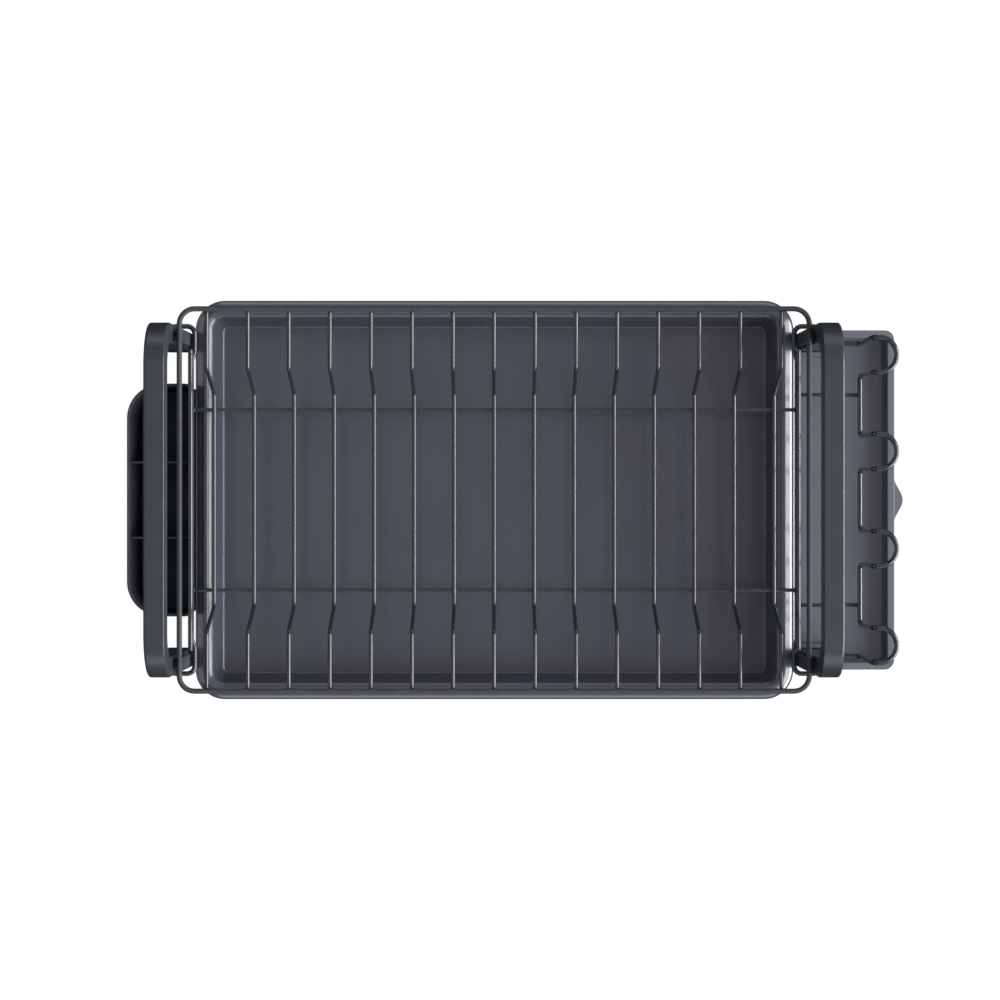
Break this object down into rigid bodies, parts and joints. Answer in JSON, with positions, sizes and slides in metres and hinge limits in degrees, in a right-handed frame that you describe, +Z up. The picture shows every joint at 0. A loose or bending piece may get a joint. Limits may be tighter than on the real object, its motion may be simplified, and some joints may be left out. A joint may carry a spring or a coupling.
{
  "type": "dish drying rack",
  "caption": "Wire dish drying rack with arched end handles, a drip tray under the basket, a cutlery holder at one end and a glass holder over its own drip tray at the other.",
  "frame": {"origin": "on the worktop, under the middle of the wire basket, at the centre of the drip tray's middle pad", "axes": "+X to the right along the length, towards the glass holder; +Y to the back; +Z up"},
  "size_m": [0.6308, 0.3244, 0.168],
  "materials": {
    "coated_wire": "dark grey satin powder coat",
    "handle_plastic": "fine matte moulded grain",
    "tray_plastic": "slate grey, smooth satin gloss",
    "cutlery_plastic": "near-black satin",
    "rubber": "matte black"
  },
  "bodies": {
    "rack": {"top_frame": "coated_wire", "cross_wire_01": "coated_wire", "cross_wire_02": "coated_wire", "cross_wire_03": "coated_wire", "cross_wire_04": "coated_wire", "cross_wire_05": "coated_wire", "cross_wire_06": "coated_wire", "cross_wire_07": "coated_wire", "cross_wire_08": "coated_wire", "cross_wire_09": "coated_wire", "cross_wire_10": "coated_wire", "cross_wire_11": "coated_wire", "cross_wire_12": "coated_wire", "cross_wire_13": "coated_wire", "cross_wire_14": "coated_wire", "cross_wire_15": "coated_wire", "support_wire_front": "coated_wire", "support_wire_back": "coated_wire", "end_wire_left": "coated_wire", "end_wire_right": "coated_wire", "stirrup_wire_left": "coated_wire", "stirrup_wire_right": "coated_wire", "leg_bracket_left_front": "coated_wire", "leg_bracket_left_back": "coated_wire", "leg_bracket_right_front": "coated_wire", "leg_bracket_right_back": "coated_wire", "handle_left": "handle_plastic", "handle_right": "handle_plastic", "handle_foot_left_front": "rubber", "handle_foot_left_back": "rubber", "handle_foot_right_front": "rubber", "handle_foot_right_back": "rubber"},
    "drip_tray": {"drip_tray": "tray_plastic", "drip_tray_pad_1": "rubber", "drip_tray_pad_2": "rubber", "drip_tray_pad_3": "rubber", "drip_tray_pad_4": "rubber", "drip_tray_pad_5": "rubber"},
    "glass_tray": {"glass_tray": "tray_plastic", "glass_tray_pad_1": "rubber", "glass_tray_pad_2": "rubber", "glass_tray_pad_3": "rubber", "glass_tray_pad_4": "rubber"},
    "cutlery_holder": {"cutlery_holder": "cutlery_plastic", "cutlery_holder_pad_1": "rubber", "cutlery_holder_pad_2": "rubber", "cutlery_holder_pad_3": "rubber", "cutlery_holder_pad_4": "rubber"},
    "glass_holder": {"glass_holder": "coated_wire", "catch_wire_front": "coated_wire", "catch_wire_back": "coated_wire"}
  },
  "joints": [
    {"name": "drip_tray_slide", "type": "slide", "parent": "rack", "child": "drip_tray", "axis": [0, -1, 0], "range_m": [0, 0.33]},
    {"name": "glass_tray_slide", "type": "slide", "parent": "rack", "child": "glass_tray", "axis": [1, 0, 0], "range_m": [0, 0.1]},
    {"name": "cutlery_holder_slide", "type": "slide", "parent": "rack", "child": "cutlery_holder", "axis": [-1, 0, 0], "range_m": [0, 0.08]},
    {"name": "glass_holder_pull", "type": "slide", "parent": "rack", "child": "glass_holder", "axis": [1, 0, 0], "range_m": [0, 0.055]}
  ]
}
